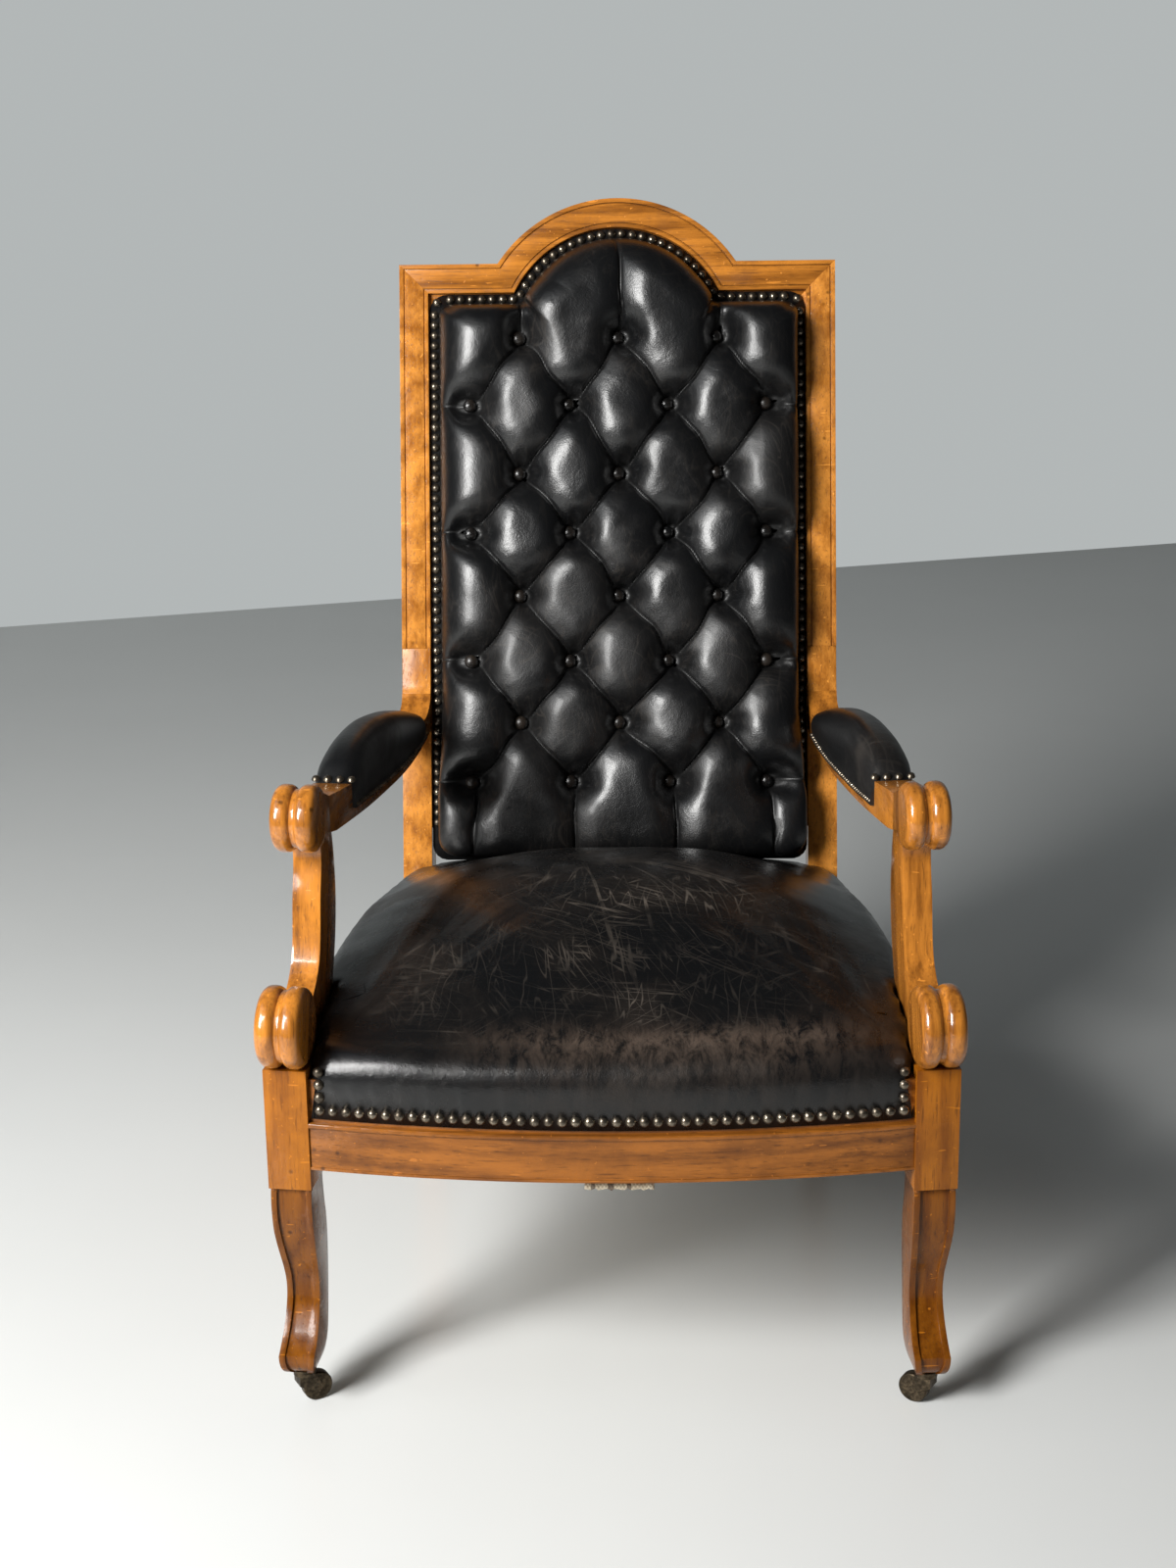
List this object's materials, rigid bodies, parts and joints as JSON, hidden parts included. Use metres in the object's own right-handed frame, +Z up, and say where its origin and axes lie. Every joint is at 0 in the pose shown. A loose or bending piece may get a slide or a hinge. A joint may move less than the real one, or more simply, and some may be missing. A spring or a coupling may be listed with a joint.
{
  "type": "tufted armchair",
  "caption": "Tall walnut armchair with scrolled arm supports, deep buttoned black leather back, sprung leather seat, padded arms, nailed trim and small front casters.",
  "frame": {"origin": "centre of the chair's outline on the floor", "axes": "+Z up, -Y towards the front where the sitter faces, +X to the viewer's right when facing the chair"},
  "size_m": [0.6652, 0.8422, 1.138],
  "materials": {
    "walnut": "polished",
    "beech": "raw",
    "black_leather": "glossy",
    "nail_bronze": "antique",
    "caster_bronze": "tarnished",
    "spring_steel": "coppered",
    "webbing": "woven jute",
    "canvas": "woven hessian",
    "horsehair": "fibrous stuffing"
  },
  "bodies": {
    "chair": {"front_leg_left": "walnut", "front_leg_right": "walnut", "arm_stump_left": "walnut", "arm_stump_right": "walnut", "arm_left": "walnut", "arm_right": "walnut", "arm_ear_left": "walnut", "arm_ear_right": "walnut", "arm_pad_left": "black_leather", "arm_pad_right": "black_leather", "corner_block_front_left": "beech", "corner_block_front_right": "beech", "corner_block_rear_left": "beech", "corner_block_rear_right": "beech", "side_rail_left": "walnut", "side_rail_right": "walnut", "rear_post_left": "walnut", "rear_post_right": "walnut", "caster_plate_left": "caster_bronze", "caster_plate_right": "caster_bronze", "front_rail": "walnut", "rear_rail": "beech", "back_lower_rail": "beech", "crest_rail": "walnut", "seat_webbing": "webbing", "seat_springs": "spring_steel", "seat_canvas": "canvas", "seat_stuffing": "horsehair", "seat_leather": "black_leather", "seat_nails": "nail_bronze", "back_webbing": "webbing", "outside_back": "black_leather", "back_cushion": "black_leather", "back_buttons": "black_leather", "back_nails": "nail_bronze", "stump_dowels": "beech", "arm_dowels": "beech"},
    "caster_fork_left": {"caster_horn_left": "caster_bronze", "caster_axle_left": "caster_bronze"},
    "caster_roller_left": {"caster_wheel_left": "caster_bronze"},
    "caster_fork_right": {"caster_horn_right": "caster_bronze", "caster_axle_right": "caster_bronze"},
    "caster_roller_right": {"caster_wheel_right": "caster_bronze"}
  },
  "joints": [
    {"name": "caster_swivel_left", "type": "hinge", "parent": "chair", "child": "caster_fork_left", "pos_m": [-0.30707, -0.37111, 0.0333], "axis": [0, 0, 1], "continuous": true},
    {"name": "caster_roll_left", "type": "hinge", "parent": "caster_fork_left", "child": "caster_roller_left", "pos_m": [-0.29668, -0.36511, 0.015], "axis": [-0.5, 0.866, 0], "continuous": true},
    {"name": "caster_swivel_right", "type": "hinge", "parent": "chair", "child": "caster_fork_right", "pos_m": [0.30707, -0.37111, 0.0333], "axis": [0, 0, 1], "continuous": true},
    {"name": "caster_roll_right", "type": "hinge", "parent": "caster_fork_right", "child": "caster_roller_right", "pos_m": [0.29668, -0.36511, 0.015], "axis": [0.5, 0.866, 0], "continuous": true}
  ]
}
